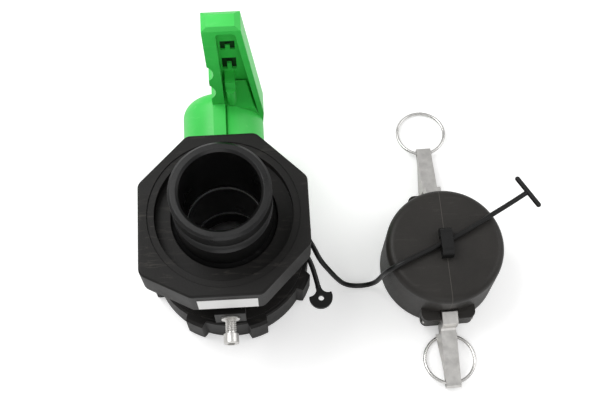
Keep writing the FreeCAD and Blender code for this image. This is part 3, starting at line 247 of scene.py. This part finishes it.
def use_group(tree, group, **inputs):
    node = tree.nodes.new("ShaderNodeGroup")
    node.node_tree = group
    for key, value in inputs.items():
        if isinstance(value, bpy.types.NodeSocket):
            tree.links.new(value, node.inputs[key])
        else:
            node.inputs[key].default_value = value
    return node


def mix_colour(tree, factor, first, second):
    """First colour where the factor is 0, second where it is 1."""
    node = tree.nodes.new("ShaderNodeMix")
    node.data_type = "RGBA"
    for socket, value in ((node.inputs[0], factor), (node.inputs[6], first), (node.inputs[7], second)):
        if isinstance(value, bpy.types.NodeSocket):
            tree.links.new(value, socket)
        else:
            socket.default_value = value if isinstance(value, float) else (*value, 1.0)
    return node.outputs[2]


def surface_normal(tree, height, strength, distance, edge=0.0005):
    """A bump over a normal that is softened at edges."""
    soft = put(tree, "ShaderNodeBevel", {"samples": 4}, Radius=edge)
    return put(tree, "ShaderNodeBump", Strength=strength, Distance=distance, Height=height,
               Normal=soft.outputs["Normal"]).outputs["Normal"]


def plastic(name, dark, light, worn, roughness, size=1.0, bump=0.25, scuffs=0.5, gloss_spread=0.12,
            shine=0.5):
    """Moulded plastic: two close tones in soft patches, grain, and worn streaks."""
    made, tree, shader, place = start_material(name)
    grain = use_group(tree, grain_tree, Vector=place, Size=size)
    marks = use_group(tree, scuff_tree, Vector=place, Amount=scuffs)
    shader.inputs["Specular IOR Level"].default_value = shine
    body = mix_colour(tree, marks.outputs["Patches"], dark, light)
    tree.links.new(mix_colour(tree, marks.outputs["Mask"], body, worn), shader.inputs["Base Color"])
    spread = put(tree, "ShaderNodeMapRange", Value=marks.outputs["Patches"], To_Min=roughness - gloss_spread,
                 To_Max=roughness + gloss_spread)
    tree.links.new(spread.outputs["Result"], shader.inputs["Roughness"])
    tree.links.new(surface_normal(tree, grain.outputs["Height"], bump, 0.0002), shader.inputs["Normal"])
    return made


def steel(name, tone, roughness, bump=0.3, size=1.5):
    """Cast and tumbled stainless steel with small pits and uneven shine."""
    made, tree, shader, place = start_material(name)
    grain = use_group(tree, grain_tree, Vector=place, Size=size)
    clouds = put(tree, "ShaderNodeTexNoise", Vector=place, Scale=160.0, Detail=5.0, Roughness=0.6)
    colour = ramp(tree, clouds.outputs["Fac"], [(0.3, tuple(c * 0.78 for c in tone)), (0.7, tone)])
    tree.links.new(colour, shader.inputs["Base Color"])
    shader.inputs["Metallic"].default_value = 1.0
    spread = put(tree, "ShaderNodeMapRange", Value=clouds.outputs["Fac"], To_Min=roughness - 0.1,
                 To_Max=roughness + 0.14)
    tree.links.new(spread.outputs["Result"], shader.inputs["Roughness"])
    tree.links.new(surface_normal(tree, grain.outputs["Height"], bump, 0.00015), shader.inputs["Normal"])
    return made


# %% Finishes of this valve
BLACK = plastic("black_polyethylene", (0.0035, 0.0032, 0.003), (0.011, 0.010, 0.009), (0.075, 0.068, 0.058),
                0.50, size=1.4, bump=0.3, scuffs=0.7, shine=0.24)
TUBE = plastic("turned_black", (0.003, 0.003, 0.003), (0.007, 0.007, 0.007), (0.05, 0.05, 0.05), 0.30,
               size=1.0, bump=0.08, scuffs=0.25, shine=0.34)
GREEN = plastic("green_handle", (0.035, 0.56, 0.07), (0.07, 0.76, 0.12), (0.32, 0.90, 0.38), 0.38,
                size=1.3, bump=0.14, scuffs=0.25, gloss_spread=0.08)
CAP = plastic("cap_plastic", (0.012, 0.011, 0.010), (0.028, 0.025, 0.022), (0.09, 0.083, 0.075), 0.44,
              size=0.8, bump=0.45, scuffs=0.2, shine=0.30)
STRAP = plastic("strap_plastic", (0.004, 0.004, 0.004), (0.010, 0.010, 0.010), (0.06, 0.06, 0.06), 0.36,
                size=0.8, bump=0.12, scuffs=0.3, shine=0.3)
# %% The cap's dark eyelet, and the fine mould line that crosses its top
CAP_MIDDLE = Vector((146.4, -10.8, 0.0)) * MM
CAP_TURN = math.radians(1.5)
EYELET_FOOT = 51.0 * MM
MOULD_LINE = 0.22 * MM
cap_nodes = CAP.node_tree
cap_shader = cap_nodes.nodes["Principled BSDF"]
cap_colour = cap_shader.inputs["Base Color"].links[0].from_socket
cap_space = put(cap_nodes, "ShaderNodeMapping", {"vector_type": "TEXTURE"},
                Vector=cap_nodes.nodes["Texture Coordinate"].outputs["Object"])
cap_space.inputs["Location"].default_value = CAP_MIDDLE
cap_space.inputs["Rotation"].default_value = (0.0, 0.0, CAP_TURN)
cap_axes = put(cap_nodes, "ShaderNodeSeparateXYZ", Vector=cap_space.outputs["Vector"])
beside_line = math_node(cap_nodes, "ABSOLUTE", cap_axes.outputs["X"])
on_line = math_node(cap_nodes, "LESS_THAN", beside_line, MOULD_LINE)
line_strength = math_node(cap_nodes, "MULTIPLY", on_line, 0.8)
with_line = mix_colour(cap_nodes, line_strength, cap_colour, (0.07, 0.064, 0.057))
on_eyelet = math_node(cap_nodes, "GREATER_THAN", cap_axes.outputs["Z"], EYELET_FOOT)
cap_nodes.links.new(mix_colour(cap_nodes, on_eyelet, with_line, (0.004, 0.004, 0.004)),
                    cap_shader.inputs["Base Color"])

# %% Rubber, seats and metals
RUBBER = plastic("gasket_rubber", (0.016, 0.016, 0.016), (0.03, 0.03, 0.03), (0.07, 0.07, 0.07), 0.7,
                 size=0.9, bump=0.3, scuffs=0.1)
SEAT = plastic("white_seat", (0.80, 0.80, 0.78), (0.88, 0.88, 0.86), (0.70, 0.69, 0.66), 0.42,
               size=1.0, bump=0.05, scuffs=0.1)
BRASS = steel("brass_insert", (0.74, 0.56, 0.27), 0.34)
STEEL = steel("cast_stainless", (0.78, 0.765, 0.74), 0.34)
WIRE = steel("drawn_stainless", (0.80, 0.79, 0.77), 0.26, bump=0.08, size=0.8)

# %% Give every solid its finish
BY_SLOT = {
    "black_polyethylene": BLACK, "black_glossy": TUBE, "green_handle": GREEN, "stainless": STEEL,
    "white_seat": SEAT, "gasket": RUBBER, "brass_insert": BRASS, "cap_plastic": CAP, "strap_plastic": STRAP,
}
for part in frame["record"]["subparts"]:
    mesh = NODES[part["node"]].data
    mesh.materials.clear()
    mesh.materials.append(BY_SLOT[part["material_slot"]])
for name in ("pull_ring_a", "pull_ring_b"):
    NODES[name].data.materials[0] = WIRE

# %% [markdown]
# ## The paper's finish
#
# Paper in a studio looks near white, but under plain lamps it comes out pale grey. Instead of
# more light on the valve, the floor glows a little for camera rays alone, so the valve keeps
# its tones and its shadow. Under the pipe the glow stops, since the body stands round it.

# %% The floor's material
GLOW = 0.34
PIPE_SHADE = 50.0 * MM
floor_material, floor_nodes, floor_shader, floor_place = start_material("pale_floor")
floor_tone = put(floor_nodes, "ShaderNodeTexNoise", Vector=floor_place, Scale=3.0, Detail=2.0)
floor_nodes.links.new(
    ramp(floor_nodes, floor_tone.outputs["Fac"], [(0.3, (0.90, 0.90, 0.895)), (0.7, (0.92, 0.92, 0.92))]),
    floor_shader.inputs["Base Color"])
floor_shader.inputs["Roughness"].default_value = 0.8
seen = put(floor_nodes, "ShaderNodeLightPath").outputs["Is Camera Ray"]
floor_shader.inputs["Emission Color"].default_value = (1.0, 1.0, 1.0, 1.0)
from_pipe = put(floor_nodes, "ShaderNodeVectorMath", {"operation": "LENGTH"}, _0=floor_place).outputs["Value"]
open_floor = math_node(floor_nodes, "GREATER_THAN", from_pipe, PIPE_SHADE)
glow = math_node(floor_nodes, "MULTIPLY", math_node(floor_nodes, "MULTIPLY", seen, open_floor), GLOW)
floor_nodes.links.new(glow, floor_shader.inputs["Emission Strength"])
floor.data.materials.append(floor_material)

# %% [markdown]
# ## The strap
#
# A moulded strap runs from the loop on the neck, down to the floor, up the cap's side and
# through its eyelet. A curve with a round section follows such a line better than any mesh
# tool. It is one piece.

# %% Its route, in millimetres
STRAP_RADIUS = 1.75 * MM
LEAD_ROUTE = [
    (36.2, 20.9, 35.5), (48.5, 13.8, 35.7), (57.0, -1.5, 35.7), (61.4, -12.2, 34.6),
    (67.8, -18.0, 27.0), (73.2, -20.8, 16.0), (78.6, -22.2, 5.6), (86.4, -22.9, 1.7),
    (94.7, -23.1, 3.2), (100.5, -23.2, 9.4), (102.6, -23.8, 21.0), (103.8, -24.6, 31.0),
    (105.0, -25.8, 41.5), (108.2, -26.3, 51.5), (117.0, -23.0, 55.0),
    (131.0, -16.6, 53.6), (146.9, -9.9, 53.7), (163.0, -2.2, 54.2), (178.5, 6.9, 54.6),
    (192.5, 14.6, 54.2), (204.6, 22.0, 53.2),
]
TAIL_ROUTE = [
    (41.7, 2.5, 35.4), (48.0, -2.5, 35.9), (54.2, -11.5, 35.6), (57.4, -22.0, 34.2), (59.4, -32.0, 32.6),
]


# %% Curves from routes
def route_curve(name, route, radius):
    """A NURBS curve with the route's points as its control points."""
    data = bpy.data.curves.new(name, "CURVE")
    data.dimensions = "3D"
    data.resolution_u = 10
    data.bevel_depth = radius
    data.bevel_resolution = 5
    data.use_fill_caps = True
    spline = data.splines.new("NURBS")
    spline.points.add(len(route) - 1)
    for point, place in zip(spline.points, route):
        point.co = (*(c * MM for c in place), 1.0)
    spline.order_u = 3
    spline.use_endpoint_u = True
    thing = bpy.data.objects.new(name, data)
    bpy.context.scene.collection.objects.link(thing)
    return thing


def line_of(name, route):
    """Points along the route's spline."""
    bare = route_curve(name + "_line", route, 0.0)
    bare.data.use_fill_caps = False
    bpy.context.view_layer.update()
    mesh = bpy.data.meshes.new_from_object(bare.evaluated_get(bpy.context.evaluated_depsgraph_get()))
    points = [tuple(v.co) for v in mesh.vertices]
    bpy.data.objects.remove(bare)
    return points


# %% The strap, as one mesh
strap_line = line_of("strap", LEAD_ROUTE)
strap_curve = route_curve("strap_curve", LEAD_ROUTE, STRAP_RADIUS)
bpy.context.view_layer.update()
strap_mesh = bpy.data.meshes.new_from_object(
    strap_curve.evaluated_get(bpy.context.evaluated_depsgraph_get()))
bpy.data.objects.remove(strap_curve)
strap = bpy.data.objects.new("strap", strap_mesh)
bpy.context.scene.collection.objects.link(strap)
strap_mesh.materials.clear()
strap_mesh.materials.append(STRAP)
strap_mesh.shade_smooth()
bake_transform(strap)
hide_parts("strap_lead", "strap_over_cap")

# %% The short tail, fixed to the valve
tail_line = line_of("strap_tail", TAIL_ROUTE)
tail = route_curve("strap_free_tail", TAIL_ROUTE, STRAP_RADIUS)
tail.data.materials.append(STRAP)
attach(tail, "valve")
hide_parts("strap_tail")

# %% [markdown]
# ## Blank label
#
# A white label is stuck on the front flat of the octagonal nut. A picture on the face would
# do from afar, but a thin plate with softened corners shows its edge in the light.

# %% Add the label
LABEL = bpy.data.materials.new("label_paper")
LABEL.use_nodes = True
LABEL.node_tree.nodes["Principled BSDF"].inputs["Base Color"].default_value = (0.80, 0.80, 0.79, 1.0)
LABEL.node_tree.nodes["Principled BSDF"].inputs["Roughness"].default_value = 0.42
LABEL_SIZE = Vector((38.0, 0.3, 19.0)) * MM
LABEL_MIDDLE = Vector((0.0, -54.4, 88.5)) * MM

bpy.ops.object.select_all(action="DESELECT")
bpy.ops.mesh.primitive_cube_add(size=1.0, location=LABEL_MIDDLE)
label = bpy.context.object
label.name = "blank_label"
label.scale = LABEL_SIZE
bpy.ops.object.transform_apply(location=True, rotation=False, scale=True)
LABEL_CORNER = 0.1 * MM
soften = label.modifiers.new("corners", "BEVEL")
soften.width = LABEL_CORNER
soften.segments = 2
bpy.ops.object.modifier_apply(modifier=soften.name)
label.data.materials.append(LABEL)
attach(label, "valve")
print("label", tuple(round(c, 4) for c in label.dimensions))

# %% [markdown]
# ## Threads
#
# A thread is one small ridge wound up by a Screw modifier: the modifier keeps the pitch
# exact, which is hard to do by hand. A union nut has a coarse one inside, and the earthing
# screw a fine one outside.

# %% Wind a ridge
RIDGE_FOOT = 0.42
RIDGE_TOP = 0.10


def thread(name, root, crest, pitch, turns, move, material, body, axis="Z"):
    """A ridge from a root radius to a crest radius, wound up and then moved."""
    bpy.ops.object.select_all(action="DESELECT")
    bpy.ops.mesh.primitive_plane_add(size=1.0, location=(0.0, 0.0, 0.0))
    ridge = bpy.context.object
    ridge.name = name
    corners = [(root, -RIDGE_FOOT), (crest, -RIDGE_TOP), (crest, RIDGE_TOP), (root, RIDGE_FOOT)]
    order = [0, 1, 3, 2]
    for vertex, k in zip(ridge.data.vertices, order):
        vertex.co = (corners[k][0] * MM, 0.0, corners[k][1] * pitch * MM)
    winding = ridge.modifiers.new("winding", "SCREW")
    winding.axis = "Z"
    winding.screw_offset = pitch * MM
    winding.iterations = turns
    winding.steps = 72 if root > 10 else 24
    winding.render_steps = winding.steps
    winding.use_merge_vertices = True
    bpy.ops.object.modifier_apply(modifier=winding.name)
    bpy.ops.object.mode_set(mode="EDIT")
    bpy.ops.mesh.select_all(action="SELECT")
    bpy.ops.mesh.normals_make_consistent(inside=False)
    bpy.ops.object.mode_set(mode="OBJECT")
    if axis == "Y":
        ridge.rotation_euler = (math.radians(-90), 0.0, 0.0)
    ridge.location = Vector(move) * MM
    bpy.ops.object.transform_apply(location=True, rotation=True, scale=True)
    ridge.data.materials.append(material)
    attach(ridge, body)
    print(name, len(ridge.data.polygons), "faces")
    return ridge


# %% The two threads
thread("union_thread", 48.9, 47.8, 4.5, 2, (0.0, 0.0, 2.8), BLACK, "nut")
thread("earthing_thread", 3.1, 3.6, 1.25, 6, (0.0, -65.9, 60.0), STEEL, "valve", axis="Y")
